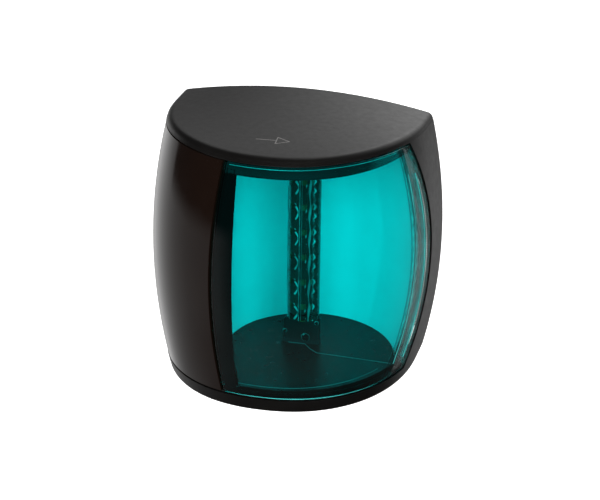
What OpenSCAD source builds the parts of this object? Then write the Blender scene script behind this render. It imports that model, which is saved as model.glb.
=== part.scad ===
// Sealed surface-mount LED navigation light, starboard sector.
// Frame: +Z up, +X to the right seen from in front, +Y towards the wall.
// The origin is the centre of the flat rear mounting face, at mid height.

/* [Body] */
// Width of the body at mid height
body_w = 82; // [80:0.5:84]
// Height from the flat base to the crown of the top
body_h = 78; // [77:0.5:79]
// Depth from the mounting face to the front at mid height
body_d = 58; // [57:0.5:60]
// How much each side pulls in between mid height and the ends
barrel_w = 5.0; // [4:0.5:6]
// How much the front pulls in between mid height and the ends
barrel_d = 4.2; // [3:0.2:5]
// Length of the straight side next to the wall
side_straight = 9.4; // [9:0.2:10]
// Superellipse power of the curved front
front_power = 2.2; // [2.1:0.05:2.4]
// Crown of the top along its back edge, per square millimetre
crown = 0.0029; // [0.002:0.0001:0.0032]
// Wall of the moulded housing
wall = 2.4; // [2.2:0.1:2.4]
// Edge radius of the top
top_r = 1.6; // [1:0.1:1.8]

/* [Lens and screen] */
// Height of the housing band above the lens
cap_band = 2.0; // [2:0.1:2.4]
// Height of the housing rim below the lens
rim_h = 4.0; // [3.6:0.1:4.4]
// Where the lens meets the gloss screen, degrees round the front
split_a = 108.1; // [107:0.1:109]
// How far the outer skin of the lens sits below the housing skin
lens_inset = 0.2; // [0.2:0.1:0.4]
// Thickness of the lens and of the screen
lens_t = 2.2; // [2:0.1:2.2]

/* [Light chamber] */
// Centre of the chamber across
ch_x = 7.5; // [7:0.1:8]
// Centre of the chamber from the mounting face
ch_y = 25.7; // [25.6:0.1:26]
// Half width of the reflector
ch_rx = 24.3; // [24:0.1:24.4]
// Half depth of the reflector
ch_ry = 22.5; // [22:0.1:22.6]
// Height of the underside of the ceiling above mid height
ceil_z = 31.7; // [31:0.1:32]
// Depth of the floor below mid height, at the back
floor_z = 30.2; // [30:0.1:30.6]
// Fall of the floor towards the front, degrees
floor_fall = 2.3; // [1.5:0.1:2.5]

/* [Light column] */
// Place of the column across
col_x = 5.6; // [5:0.1:6]
// Place of the column from the mounting face
col_y = 24.5; // [24:0.1:25]
// Turn of the column towards the middle of its sector, degrees
col_turn = 20; // [15:1:25]
// Radius of the column's round front
col_r = 4.65; // [4.4:0.05:4.8]
// Number of light cells
cells = 7; // [7:1:7]
// Spacing of the light cells
cell_pitch = 7.75; // [7.7:0.01:7.8]

/* [Mounting] */
// Distance between the two threaded inserts
insert_gap = 60; // [59:0.5:61]
// Radius of the thread in each insert
insert_r = 2.0; // [2:0.1:2.1]
// Length of each insert
insert_len = 6.5; // [6:0.1:6.6]
// Radius of the cable bore in the grommet
cable_r = 2.75; // [2.5:0.05:2.9]

/* [Hidden] */

W0 = body_w / 2;
HH = body_h / 2;
S0 = side_straight;
seam_lo = -HH + rim_h;
function split_at(z) = split_a - 3.1 * pow(z / 36, 2);   // the joint leans right at both ends
in_off = lens_inset + lens_t;          // inner skin of the lens
land = in_off + 0.3;                   // parts that sit behind the lens

// ---- body surface ----
function kz(z) = pow(z / HH, 2);
function w_at(z, off) = W0 - barrel_w * kz(z) - off;
function d_at(z, off) = body_d - barrel_d * kz(z) - off;
// point on the curved front: a from 0 (right) to 180 (left)
function front_pt(z, a, off) =
    let (c = cos(a), s = max(sin(a), 0), e = 2 / front_power)
    [w_at(z, off) * sign(c) * pow(abs(c), e), -S0 - (d_at(z, off) - S0) * pow(s, e)];
// height of the top surface, crowned at the back and nearly level at the front
function top_z(x, y) = HH + 0.05 - 0.65 * pow(y / 52, 2) - crown * max(0, 1 + y / 50) * x * x;
// angle at which the right frame gives way to the lens, wider at the ends
function frame_a(z) = 5.2 + 12.6 * pow(z / 36, 2);
// skin point: q counts straight side, frame, lens, screen and left side
REAR_Q = 4.47;
function skin_xy(z, q, off) =
    q <= 1 ? [w_at(z, off), -S0 * q]
    : q <= 2 ? front_pt(z, frame_a(z) * (q - 1), off)
    : q <= 3 ? front_pt(z, frame_a(z) + (split_at(z) - frame_a(z)) * (q - 2), off)
    : q <= 4 ? front_pt(z, split_at(z) + (180 - split_at(z)) * (q - 3), off)
    : [-w_at(z, off), -S0 * (5 - q)];
// height of the lens's upper seam at q
function seam_hi(q) = let (p = skin_xy(36.5, q, 0)) top_z(p[0], p[1]) - cap_band;

function v3(p, z) = [p[0], p[1], z];
function lerp(a, b, f) = a + (b - a) * f;

// closed shell between an outer and an inner grid of points, each rows by columns
module grid_shell(O, I) {
    R = len(O);
    C = len(O[0]);
    n = R * C;
    pts = concat([for (r = O) each r], [for (r = I) each r]);
    function o(j, i) = j * C + i;
    faces = concat(
        [for (j = [0:R - 2], i = [0:C - 2]) each [[o(j, i), o(j + 1, i), o(j + 1, i + 1)], [o(j, i), o(j + 1, i + 1), o(j, i + 1)]]],
        [for (j = [0:R - 2], i = [0:C - 2]) each [[n + o(j, i), n + o(j + 1, i + 1), n + o(j + 1, i)], [n + o(j, i), n + o(j, i + 1), n + o(j + 1, i + 1)]]],
        [for (i = [0:C - 2]) each [[o(0, i), o(0, i + 1), n + o(0, i + 1)], [o(0, i), n + o(0, i + 1), n + o(0, i)]]],
        [for (i = [0:C - 2]) each [[o(R - 1, i + 1), o(R - 1, i), n + o(R - 1, i)], [o(R - 1, i + 1), n + o(R - 1, i), n + o(R - 1, i + 1)]]],
        [for (j = [0:R - 2]) each [[o(j + 1, 0), o(j, 0), n + o(j, 0)], [o(j + 1, 0), n + o(j, 0), n + o(j + 1, 0)]]],
        [for (j = [0:R - 2]) each [[o(j, C - 1), o(j + 1, C - 1), n + o(j + 1, C - 1)], [o(j, C - 1), n + o(j + 1, C - 1), n + o(j, C - 1)]]]);
    polyhedron(points = pts, faces = faces, convexity = 8);
}

// strip of the wall between two q values, two offsets and two seam heights
module skin_strip(q0, q1, nq, off0, off1, lo, dhi, rows) {
    function zz(j, q) = lerp(lo, seam_hi(q) + dhi, j / rows);
    O = [for (j = [0:rows]) [for (i = [0:nq]) let (q = lerp(q0, q1, i / nq), z = zz(j, q)) v3(skin_xy(z, q, off0), z)]];
    I = [for (j = [0:rows]) [for (i = [0:nq]) let (q = lerp(q0, q1, i / nq), z = zz(j, q)) v3(skin_xy(z, q, off1), z)]];
    grid_shell(O, I);
}

// ---- housing: base, right frame, top and the rear rim, one moulding with an open back ----
HQ = [0, 0.5, 1, 1.5, 2, for (i = [1:26]) 2 + i / 26, for (i = [1:14]) 3 + i / 14, 4.25, REAR_Q, 5];
WR = 10;                                // rows over the height of the window
// each row: [kind, value, offset, height above its reference] for the outer and the inner skin
// kind 0 base disc, 1 side below the seam, 2 window row, 3 top edge, 4 top disc
HROWS = concat(
    [[0, 0], [0, 0.45], [0, 0.85]],
    [[1, 0], [1, 1], [1, 2]],
    [for (j = [0:WR]) [2, j / WR]],
    [[3, 0], [3, 1], [3, 2], [3, 3]],
    [[4, 0.85], [4, 0.6], [4, 0.3], [4, 0]]);
BASE_OUT = [[0.9, 0], [0.25, 0.25], [0, 0.9]];
BASE_IN = [[wall + 0.6, 2.2], [wall + 0.2, 2.2], [wall, 2.6]];
TOP_IN = [[wall + 0.02, -cap_band + 0.04], [wall + 0.1, -cap_band + 0.1], [wall + 0.3, -cap_band + 0.16], [wall + 0.6, -cap_band + 0.2]];
function top_edge(a) = [top_r * (1 - cos(a)), -top_r + top_r * sin(a)];
TOP_OUT = [top_edge(0), top_edge(30), top_edge(62), top_edge(90)];
// top point at offset off and height dz from the crowned surface
function edge_z(q) = seam_hi(q) + cap_band - 1.2;
function top_pt(q, off, dz) = let (p = skin_xy(edge_z(q), q, off)) v3(p, top_z(p[0], p[1]) + dz);
function h_out(r, q) =
    r[0] == 0 ? v3(r[1] * skin_xy(-HH, q, BASE_OUT[0][0]), -HH)
    : r[0] == 1 ? let (z = -HH + BASE_OUT[r[1]][1]) v3(skin_xy(z, q, BASE_OUT[r[1]][0]), z)
    : r[0] == 2 ? let (z = lerp(seam_lo, seam_hi(q), r[1])) v3(skin_xy(z, q, 0), z)
    : r[0] == 3 ? top_pt(q, TOP_OUT[r[1]][0], TOP_OUT[r[1]][1])
    : let (p = r[1] * skin_xy(edge_z(q), q, TOP_OUT[3][0])) v3(p, top_z(p[0], p[1]));
function h_in(r, q) =
    r[0] == 0 ? v3(r[1] * skin_xy(-HH, q, BASE_IN[0][0]), -HH + 2.2)
    : r[0] == 1 ? let (z = -HH + BASE_IN[r[1]][1]) v3(skin_xy(z, q, BASE_IN[r[1]][0]), z)
    : r[0] == 2 ? let (z = lerp(seam_lo, seam_hi(q), r[1])) v3(skin_xy(z, q, wall), z)
    : r[0] == 3 ? top_pt(q, TOP_IN[r[1]][0], TOP_IN[r[1]][1])
    : let (p = r[1] * skin_xy(edge_z(q), q, TOP_IN[3][0])) v3(p, top_z(p[0], p[1]) - cap_band + 0.2);

module housing_shell() {
    R = len(HROWS);
    C = len(HQ);
    n = R * C;
    O = [for (r = HROWS) each [for (q = HQ) h_out(r, q)]];
    I = [for (r = HROWS) each [for (q = HQ) h_in(r, q)]];
    // the disc centres are one point each
    function o(j, i) = (j == 0 || j == R - 1) ? j * C : j * C + i;
    function on(j, i) = j >= 0 && j < R - 1 && i >= 0 && i < C - 1
        && !(HROWS[j][0] == 2 && HROWS[j + 1][0] == 2 && HQ[i] >= 2 - 1e-6 && HQ[i + 1] <= REAR_Q + 1e-6);
    function tri(a, b, c) = (a == b || b == c || a == c) ? [] : [[a, b, c]];
    function quad(a, b, c, d) = concat(tri(a, b, c), tri(a, c, d));
    faces = [for (j = [0:R - 2], i = [0:C - 2]) if (on(j, i)) each concat(
        quad(o(j, i), o(j + 1, i), o(j + 1, i + 1), o(j, i + 1)),
        quad(n + o(j, i), n + o(j, i + 1), n + o(j + 1, i + 1), n + o(j + 1, i)),
        on(j - 1, i) || j == 0 ? [] : quad(o(j, i), o(j, i + 1), n + o(j, i + 1), n + o(j, i)),
        on(j + 1, i) || j == R - 2 ? [] : quad(o(j + 1, i + 1), o(j + 1, i), n + o(j + 1, i), n + o(j + 1, i + 1)),
        on(j, i - 1) ? [] : quad(o(j + 1, i), o(j, i), n + o(j, i), n + o(j + 1, i)),
        on(j, i + 1) ? [] : quad(o(j, i + 1), o(j + 1, i + 1), n + o(j + 1, i + 1), n + o(j, i + 1)))];
    color([0.08, 0.08, 0.08]) polyhedron(points = concat(O, I), faces = faces, convexity = 10);
}

module outer_lens() color([0.0, 0.72, 0.68, 0.6])
    skin_strip(2.008, 2.996, 34, lens_inset, in_off, seam_lo + 0.5, -0.5, 12);

module side_screen() color([0.12, 0.09, 0.08])
    skin_strip(3.008, REAR_Q - 0.03, 22, lens_inset - 0.1, in_off, seam_lo + 0.5, -0.5, 12);

// thin seals that fill the seams above and below the lens and the screen
module top_seam_seal() {
    function zt(q, e) = seam_hi(q) - 0.5 + e;
    O = [for (e = [0.02, 0.48]) [for (i = [0:40]) let (q = lerp(2.02, REAR_Q - 0.05, i / 40), z = zt(q, e)) v3(skin_xy(z, q, 0.9), z)]];
    I = [for (e = [0.02, 0.48]) [for (i = [0:40]) let (q = lerp(2.02, REAR_Q - 0.05, i / 40), z = zt(q, e)) v3(skin_xy(z, q, 2.3), z)]];
    color([0.02, 0.02, 0.02]) grid_shell(O, I);
}
module base_seam_seal() {
    O = [for (e = [0.02, 0.48]) [for (i = [0:40]) let (q = lerp(2.02, REAR_Q - 0.05, i / 40), z = seam_lo + e) v3(skin_xy(z, q, 0.9), z)]];
    I = [for (e = [0.02, 0.48]) [for (i = [0:40]) let (q = lerp(2.02, REAR_Q - 0.05, i / 40), z = seam_lo + e) v3(skin_xy(z, q, 2.3), z)]];
    color([0.02, 0.02, 0.02]) grid_shell(O, I);
}

// ---- light chamber ----
// plan of the chamber: an elliptical back, the screen side and the lens side
CH_LEFT = [-8.3, -51.4];               // front corner on the screen side
function ch_arc(a, g) = [ch_x + (ch_rx + g) * cos(a), -ch_y + (ch_ry + g) * sin(a)];
module reflector() color([0.9, 0.92, 0.9])
    translate([0, 0, -34]) linear_extrude(67.5) polygon(concat(
        [[32.9, -24.9]], [for (a = [3:4:175]) ch_arc(a, 0)], [ch_arc(179, 0)],
        [ch_arc(179, 0.8)], [for (a = [175:-4:3]) ch_arc(a, 0.8)], [[32.9, -23.9]]));

// black wall that cuts the beam off on the screen side, with a land behind the lens edge
module side_shroud() {
    function ring(z) = concat(
        [for (a = [99.8:1.6:109.4]) front_pt(z, a, land)],
        [front_pt(z, 109.4, land + 1.6), front_pt(z, 102.6, land + 1.8), [-18.6, -27.2], [-17.0, -26.6]]);
    Z = [for (j = [0:10]) -33.6 + 67.0 * j / 10];
    m = len(ring(0));
    color([0.05, 0.05, 0.05]) polyhedron(points = [for (z = Z) each [for (p = ring(z)) v3(p, z)]],
        faces = concat([[for (i = [0:m - 1]) i]], [[for (i = [m - 1:-1:0]) 10 * m + i]],
            [for (j = [0:9], i = [0:m - 1]) let (k = (i + 1) % m) each [[j * m + i, (j + 1) * m + i, (j + 1) * m + k], [j * m + i, (j + 1) * m + k, j * m + k]]]),
        convexity = 6);
}

// plan of the floor and the ceiling: back arc, shroud side, lens side
function plate_plan(z, g) = concat(
    [for (a = [3:4:175]) ch_arc(a, -g)], [[-16.4 + g, -27]],
    [let (p = front_pt(z, 98.6, land)) [p[0] + g, p[1]]],
    [for (a = [97:-3:28]) front_pt(z, a, land)], [[32.5, -25.3]]);
module fascia(z0, h, g) translate([0, 0, z0]) linear_extrude(h) difference() {
    polygon(concat([for (a = [98:-3:26]) front_pt(36, a, land)], [[0, -20]]));
    polygon(concat([for (a = [104:-3:20]) front_pt(36, a, land + g)], [[0, -10]]));
}
module ceiling_baffle() color([0.04, 0.05, 0.05]) {
    translate([0, 0, ceil_z]) linear_extrude(1.4) polygon(plate_plan(32, 0.2));
    fascia(ceil_z, 4.2, 1.5);
}
RIDGE = [[0.9, -23.2], [5.8, -23.2], [8.3, -26.1], [10.5, -27.8], [31.4, -28.9]];
module floor_baffle() color([0.04, 0.05, 0.05]) difference() {
    union() {
        translate([0, -3, -floor_z]) rotate([floor_fall, 0, 0]) translate([0, 3, -1.4]) {
            linear_extrude(1.4) polygon(plate_plan(33, 0.2));
            // fine ridge round the foot and out to the right
            for (k = [0:len(RIDGE) - 2]) linear_extrude(1.55) hull() for (p = [RIDGE[k], RIDGE[k + 1]])
                translate(p) circle(r = 0.14, $fn = 12);
        }
        fascia(-35.4, 2.9, 1.5);
    }
    for (k = [0, 1]) {
        translate([-10 + 3 * k, -20, -40]) cylinder(h = 20, r = 0.9, $fn = 24);
        at_column() translate([-1.2 + 2.4 * k, 4, -40]) cylinder(h = 20, r = 0.9, $fn = 24);
    }
}
function floor_at(y) = -floor_z + tan(floor_fall) * (y + 3);

// ---- light column: a clear lens bar in front of a strip of emitters ----
module at_column() translate([col_x, -col_y, 0]) rotate([0, 0, col_turn]) children();
COL_TOP = ceil_z - 0.1;
COL_LEN = cells * cell_pitch - 1.4;      // the lowest cell is cut short
COL_BOT = COL_TOP - COL_LEN;
FOOT_LO = floor_at(-16.8) + 0.04;
module light_column() color([0.75, 0.9, 0.85, 0.6]) at_column()
    translate([0, 0, COL_BOT]) linear_extrude(COL_LEN) difference() {
        union() {
            intersection() { circle(r = col_r, $fn = 64); translate([-6, -6]) square([12, 7.2]); }
            translate([-4.3, -0.5]) square([8.6, 1.8]);
        }
        translate([-1.7, -0.4]) square([3.4, 4]);
        for (s = [-1, 1]) translate([s * 1.6, -5.0]) circle(r = 0.8, $fn = 24);
    }
// the foot is an upright block behind the overhanging bar, with three pegs in its front face
FOOT_Y = -22.9;
PEGS = [[-0.05, -27.1, 0.7], [6.1, -28.5, 1.4], [9.35, -23.7, 0.7]];    // x, z, radius
module column_foot() color([0.05, 0.06, 0.06]) difference() {
    translate([0, 0, FOOT_LO]) linear_extrude(COL_BOT - 0.05 - FOOT_LO)
        polygon([[-0.95, FOOT_Y], [10.25, FOOT_Y], [10.25, -20.0], [8.4, -16.2], [-0.95, -19.6]]);
    for (g = PEGS) translate([g[0], FOOT_Y - 1, g[1]]) rotate([-90, 0, 0]) cylinder(h = 2.5, r = g[2], $fn = 32);
    at_column() for (k = [0, 1]) translate([-1.2 + 2.4 * k, 4, -40]) cylinder(h = 10.5, r = 0.62, $fn = 24);
}
module locating_pegs() color([0.7, 0.85, 0.8])
    for (g = PEGS) translate([g[0], FOOT_Y - 0.8, g[1]]) rotate([-90, 0, 0]) cylinder(h = 2.3, r = g[2], $fn = 32);
module led_board() color([0.1, 0.25, 0.15]) at_column()
    translate([-4.2, 2.6, COL_BOT]) cube([8.4, 1.0, COL_LEN]);
module led_emitters() color([0.95, 0.9, 0.6]) at_column()
    for (k = [0:cells - 1]) translate([-0.8, 1.9, COL_TOP - (k + 0.5) * cell_pitch - 0.8]) cube([1.6, 0.7, 1.6]);
module heat_spreader() color([0.55, 0.56, 0.58]) at_column()
    translate([-4.2, 3.6, COL_BOT]) difference() {
        cube([8.4, 3.0, COL_LEN]);
        for (s = [-0.1, 7.3]) for (k = [0:3]) translate([s, 0.9, 6 + 12 * k]) cube([1.2, 1.2, 8]);
    }

// ---- tube swept along a route ----
function unit(v) = v / norm(v);
module tube(P, r, m = 8) {
    N = len(P);
    T = [for (i = [0:N - 1]) unit(i == 0 ? P[1] - P[0] : i == N - 1 ? P[N - 1] - P[N - 2] : unit(P[i + 1] - P[i]) + unit(P[i] - P[i - 1]))];
    function side(t) = unit(cross(t, [0.13, 1, 0.21]));
    pts = [for (i = [0:N - 1]) let (u = side(T[i]), v = cross(T[i], u)) each [for (k = [0:m - 1]) P[i] + r * (cos(360 * k / m) * u + sin(360 * k / m) * v)]];
    polyhedron(points = pts, faces = concat([[for (k = [0:m - 1]) k]], [[for (k = [m - 1:-1:0]) (N - 1) * m + k]],
        [for (i = [0:N - 2], k = [0:m - 1]) let (l = (k + 1) % m) each [[i * m + k, (i + 1) * m + k, (i + 1) * m + l], [i * m + k, (i + 1) * m + l, i * m + l]]]));
}
// the two conductors run from the driver board under the chamber floor to the foot
module led_leads() {
    for (k = [0, 1]) color(k == 0 ? [0.7, 0.08, 0.06] : [0.06, 0.06, 0.06])
        let (fx = col_x + (-1.2 + 2.4 * k) * cos(col_turn) - 4 * sin(col_turn),
             fy = -col_y + (-1.2 + 2.4 * k) * sin(col_turn) + 4 * cos(col_turn), ya = -16 - 3 * k)
        tube([[-21.3, ya, -25.6], [-20.6, ya, -26.2], [-20, ya, -27.6], [-20, ya, -33.4], [-19.4, ya, -34.6], [-18, ya, -35],
            [-12, ya, -35], [fx - 2, fy, -35], [fx - 0.5, fy, -34.6], [fx, fy, -33.6], [fx, fy, -30.2]], 0.55);
}

// ---- driver electronics, beside the chamber behind the screen ----
BX = -23.3;                             // component side of the driver board
PIL = [[-13, 22], [-33, 22], [-13, -22], [-33, -22]];
module driver_board() color([0.07, 0.3, 0.16]) difference() {
    translate([BX, -38, -27]) cube([1.6, 28, 54]);
    for (p = PIL) translate([BX - 1, p[0], p[1]]) rotate([0, 90, 0]) cylinder(h = 4, r = 1.1, $fn = 32);
}
module power_inductor() color([0.2, 0.2, 0.22]) translate([BX, -24, 12]) rotate([0, -90, 0]) difference() {
    cylinder(h = 5.6, r = 5.2, $fn = 48);
    translate([0, 0, 1.2]) difference() { cylinder(h = 3.2, r = 6, $fn = 48); cylinder(h = 3.2, r = 3.6, $fn = 48); }
}
module filter_capacitors() color([0.25, 0.28, 0.35])
    for (z = [-4, -14]) translate([BX, -18, z]) rotate([0, -90, 0]) { cylinder(h = 7.2, r = 3.15, $fn = 40); }
module driver_chips() color([0.05, 0.05, 0.05]) {
    translate([BX - 1.5, -31, -6]) cube([1.5, 5, 6]);
    translate([BX - 1.3, -30, -16]) cube([1.3, 3, 3]);
}
module surge_suppressor() color([0.1, 0.1, 0.1]) translate([BX - 2.4, -26, 21]) cube([2.4, 4, 5]);
module board_pillars() color([0.08, 0.08, 0.08])
    for (p = PIL) translate([BX + 1.6, p[0], p[1]]) rotate([0, 90, 0]) difference() {
        cylinder(h = 3.4, r = 2.1, $fn = 32);
        translate([0, 0, -1]) cylinder(h = 6, r = 1.0, $fn = 32);
    }
module board_screws() color([0.75, 0.75, 0.77])
    for (p = PIL) translate([BX - 1.3, p[0], p[1]]) rotate([0, 90, 0]) {
        difference() {
            union() { cylinder(h = 1.3, r = 1.9, $fn = 32); cylinder(h = 5.6, r = 1.0, $fn = 32); }
            translate([0, 0, -0.1]) cylinder(h = 0.9, r = 0.8, $fn = 6);
        }
    }

// ---- back ----
function back_plan(g) = concat(
    [for (j = [0:12]) let (z = lerp(-HH + 2.2 + g, 33.2 - g, j / 12)) [w_at(z, wall + g), z]],
    [for (j = [1:11]) let (x = lerp(w_at(33.2, wall + g), -w_at(33.2, wall + g), j / 12)) [x, HH + 0.05 - crown * x * x - cap_band - g]],
    [for (j = [12:-1:0]) let (z = lerp(-HH + 2.2 + g, 33.2 - g, j / 12)) [-w_at(z, wall + g), z]]);
// an upright plate between two depths from the mounting face
module upright(y0, y1) translate([0, -y0, 0]) rotate([90, 0, 0]) linear_extrude(y1 - y0) children();
GR = [-27, -22];                        // cable entry
module rear_plate() color([0.07, 0.07, 0.07]) difference() {
    union() {
        upright(0, 2.2) polygon(back_plan(2.2));
        for (s = [-1, 1]) translate([s * insert_gap / 2, -1, 0]) rotate([90, 0, 0]) cylinder(h = 7.4, r = 4.4, $fn = 64);
        translate([GR[0], -1, GR[1]]) rotate([90, 0, 0]) cylinder(h = 4, r = 6.2, $fn = 64);
    }
    for (s = [-1, 1]) translate([s * insert_gap / 2, 1, 0]) rotate([90, 0, 0]) cylinder(h = insert_len + 1, r = 2.8, $fn = 64);
    translate([GR[0], 1, GR[1]]) rotate([90, 0, 0]) cylinder(h = 20, r = 4.2, $fn = 64);
}
module rear_seal() color([0.15, 0.15, 0.15])
    upright(2.25, 3.4) difference() { polygon(back_plan(0.15)); polygon(back_plan(2.6)); }
module threaded_inserts() color([0.78, 0.62, 0.3])
    for (s = [-1, 1]) translate([s * insert_gap / 2, 0, 0]) rotate([90, 0, 0]) difference() {
        cylinder(h = insert_len, r = 2.8, $fn = 64);
        translate([0, 0, -1]) cylinder(h = insert_len + 2, r = insert_r, $fn = 64);
    }
module mounting_gasket() color([0.12, 0.12, 0.12])
    upright(0, 2.0) difference() { polygon(back_plan(0.15)); polygon(back_plan(2.15)); }
module cable_grommet() color([0.1, 0.1, 0.1]) translate([GR[0], 0, GR[1]]) rotate([90, 0, 0]) difference() {
    union() { cylinder(h = 8, r = 4.2, $fn = 64); translate([0, 0, 5]) cylinder(h = 1.4, r = 5.4, $fn = 64); }
    translate([0, 0, -1]) cylinder(h = 12, r = cable_r, $fn = 64);
}

housing_shell();
outer_lens();
side_screen();
top_seam_seal();
base_seam_seal();
reflector();
side_shroud();
ceiling_baffle();
floor_baffle();
light_column();
column_foot();
locating_pegs();
led_board();
led_emitters();
heat_spreader();
led_leads();
driver_board();
power_inductor();
filter_capacitors();
driver_chips();
surge_suppressor();
board_pillars();
board_screws();
rear_plate();
rear_seal();
threaded_inserts();
mounting_gasket();
cable_grommet();
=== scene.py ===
import math
import bpy
import bmesh
import numpy as np
from mathutils import Matrix, Vector


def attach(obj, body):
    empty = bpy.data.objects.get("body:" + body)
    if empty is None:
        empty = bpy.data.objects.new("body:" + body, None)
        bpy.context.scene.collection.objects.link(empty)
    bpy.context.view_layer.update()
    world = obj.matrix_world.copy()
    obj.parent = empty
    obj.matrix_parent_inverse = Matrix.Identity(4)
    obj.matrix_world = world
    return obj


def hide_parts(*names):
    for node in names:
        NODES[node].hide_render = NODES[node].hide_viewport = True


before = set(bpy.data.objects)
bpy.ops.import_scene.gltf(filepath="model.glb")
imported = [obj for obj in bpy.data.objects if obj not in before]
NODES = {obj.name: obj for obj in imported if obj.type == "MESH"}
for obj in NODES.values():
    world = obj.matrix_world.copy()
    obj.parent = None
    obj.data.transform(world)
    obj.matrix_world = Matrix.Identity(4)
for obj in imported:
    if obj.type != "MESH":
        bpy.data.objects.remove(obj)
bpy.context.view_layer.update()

MM = 0.001
COL = bpy.context.scene.collection

# ------------------------------------------------------------------ the body's shape, in millimetres
W0, HH, D0 = 41.0, 39.0, 58.0
BW, BD, S0, PW = 5.0, 4.2, 9.4, 2.2
CROWN, WALL, TOP_R, BAND = 0.0029, 2.4, 1.6, 2.0
SEAM_LO = -35.0
LENS_IN, LENS_T = 0.2, 2.2
IN_OFF = LENS_IN + LENS_T
LAND = IN_OFF + 0.3
CEIL_Z, FLOOR_Z, FALL = 31.7, 30.2, 2.3
CH = (7.5, 25.7, 24.3, 22.5)
COLX, COLY, TURN, COL_R = 5.6, 24.5, 20.0, 4.65
CELLS, PITCH = 7, 7.75
COL_TOP = CEIL_Z - 0.1
COL_LEN = CELLS * PITCH - 1.4
COL_BOT = COL_TOP - COL_LEN
REAR_Q = 4.47


def kz(z):
    return (z / HH) ** 2


def front_pt(z, a, off):
    c, s, e = math.cos(math.radians(a)), max(math.sin(math.radians(a)), 0.0), 2 / PW
    w, d = W0 - BW * kz(z) - off, D0 - BD * kz(z) - off
    return (w * math.copysign(abs(c) ** e, c), -S0 - (d - S0) * s ** e)


def top_z(x, y):
    return HH + 0.05 - 0.65 * (y / 52) ** 2 - CROWN * max(0.0, 1 + y / 50) * x * x


def frame_a(z):
    return 5.2 + 12.6 * (z / 36) ** 2


def split_at(z):
    return 108.1 - 3.1 * (z / 36) ** 2


def skin_xy(z, q, off):
    w = W0 - BW * kz(z) - off
    if q <= 1:
        return (w, -S0 * q)
    if q <= 2:
        return front_pt(z, frame_a(z) * (q - 1), off)
    if q <= 3:
        return front_pt(z, frame_a(z) + (split_at(z) - frame_a(z)) * (q - 2), off)
    if q <= 4:
        return front_pt(z, split_at(z) + (180 - split_at(z)) * (q - 3), off)
    return (-w, -S0 * (5 - q))


def seam_hi(q):
    x, y = skin_xy(36.5, q, 0)
    return top_z(x, y) - BAND


def edge_z(q):
    return seam_hi(q) + BAND - 1.2


def floor_at(y):
    return -FLOOR_Z + math.tan(math.radians(FALL)) * (y + 3)


def lerp(a, b, f):
    return a + (b - a) * f


# ------------------------------------------------------------------ mesh helpers
def new_piece(name, verts, faces, node=None, slot=None, smooth=40, merge=1e-7, ride=True):
    me = bpy.data.meshes.new(name)
    me.from_pydata([tuple(c * MM for c in v) for v in verts], [], faces)
    bm = bmesh.new()
    bm.from_mesh(me)
    if merge:
        bmesh.ops.remove_doubles(bm, verts=bm.verts, dist=merge)
    loose = [v for v in bm.verts if not v.link_faces]
    bmesh.ops.delete(bm, geom=loose, context="VERTS")
    bmesh.ops.recalc_face_normals(bm, faces=bm.faces)
    for f in bm.faces:
        f.smooth = True
    lim = math.radians(smooth)
    for e in bm.edges:
        e.smooth = not (len(e.link_faces) != 2 or e.calc_face_angle(0) > lim)
    bm.to_mesh(me)
    bm.free()
    o = bpy.data.objects.new(name, me)
    COL.objects.link(o)
    if ride:
        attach(o, "root")
    if node:
        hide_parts(*([node] if isinstance(node, str) else node))
    return o


def shell(O, I, on=None):
    """Closed shell from two grids of points, with an optional cell mask."""
    R, C = len(O), len(O[0])
    n = R * C
    verts = [p for r in O for p in r] + [p for r in I for p in r]
    on = on or (lambda j, i: True)
    ok = lambda j, i: 0 <= j < R - 1 and 0 <= i < C - 1 and on(j, i)
    v = lambda j, i: j * C + i
    faces = []
    for j in range(R - 1):
        for i in range(C - 1):
            if not ok(j, i):
                continue
            a, b, c, d = v(j, i), v(j + 1, i), v(j + 1, i + 1), v(j, i + 1)
            faces.append((a, b, c, d))
            faces.append((n + a, n + d, n + c, n + b))
            if not ok(j - 1, i):
                faces.append((a, d, n + d, n + a))
            if not ok(j + 1, i):
                faces.append((c, b, n + b, n + c))
            if not ok(j, i - 1):
                faces.append((b, a, n + a, n + b))
            if not ok(j, i + 1):
                faces.append((d, c, n + c, n + d))
    return verts, faces


def drop_degenerate(verts, faces, poles):
    """Walls between coincident pole points are removed."""
    out = []
    for f in faces:
        pts = {tuple(round(c, 6) for c in verts[k]) for k in f}
        if len(pts) >= 3:
            out.append(f)
    return out


def spaced(a, b, n, edge=None, k=2):
    """n+1 values from a to b, with extra ones at distance edge from each end."""
    xs = [lerp(a, b, i / n) for i in range(n + 1)]
    if edge:
        for t in range(1, k + 1):
            xs += [a + edge * t / k, b - edge * t / k]
    return sorted(set(round(x, 6) for x in xs))


def bevel(o, width, segments=3, angle=35):
    m = o.modifiers.new("edges", "BEVEL")
    m.width = width * MM
    m.segments = segments
    m.limit_method = "ANGLE"
    m.angle_limit = math.radians(angle)
    m.use_clamp_overlap = True
    m.harden_normals = False
    return m


def strip(name, q0, q1, nq, off0, off1, zlo, dhi, rows, **kw):
    """Part of the wall between two q values, from the lower seam to the upper."""
    ed = 0.012
    qs = spaced(q0, q1, nq, ed, 2)
    vs = spaced(0, 1, rows, 0.010, 2)
    def zz(f, q):
        return lerp(zlo, seam_hi(q) + dhi, f)
    def grid(off):
        return [[(*skin_xy(zz(f, q), q, off), zz(f, q)) for q in qs] for f in vs]
    return new_piece(name, *shell(grid(off0), grid(off1)), **kw)


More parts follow.
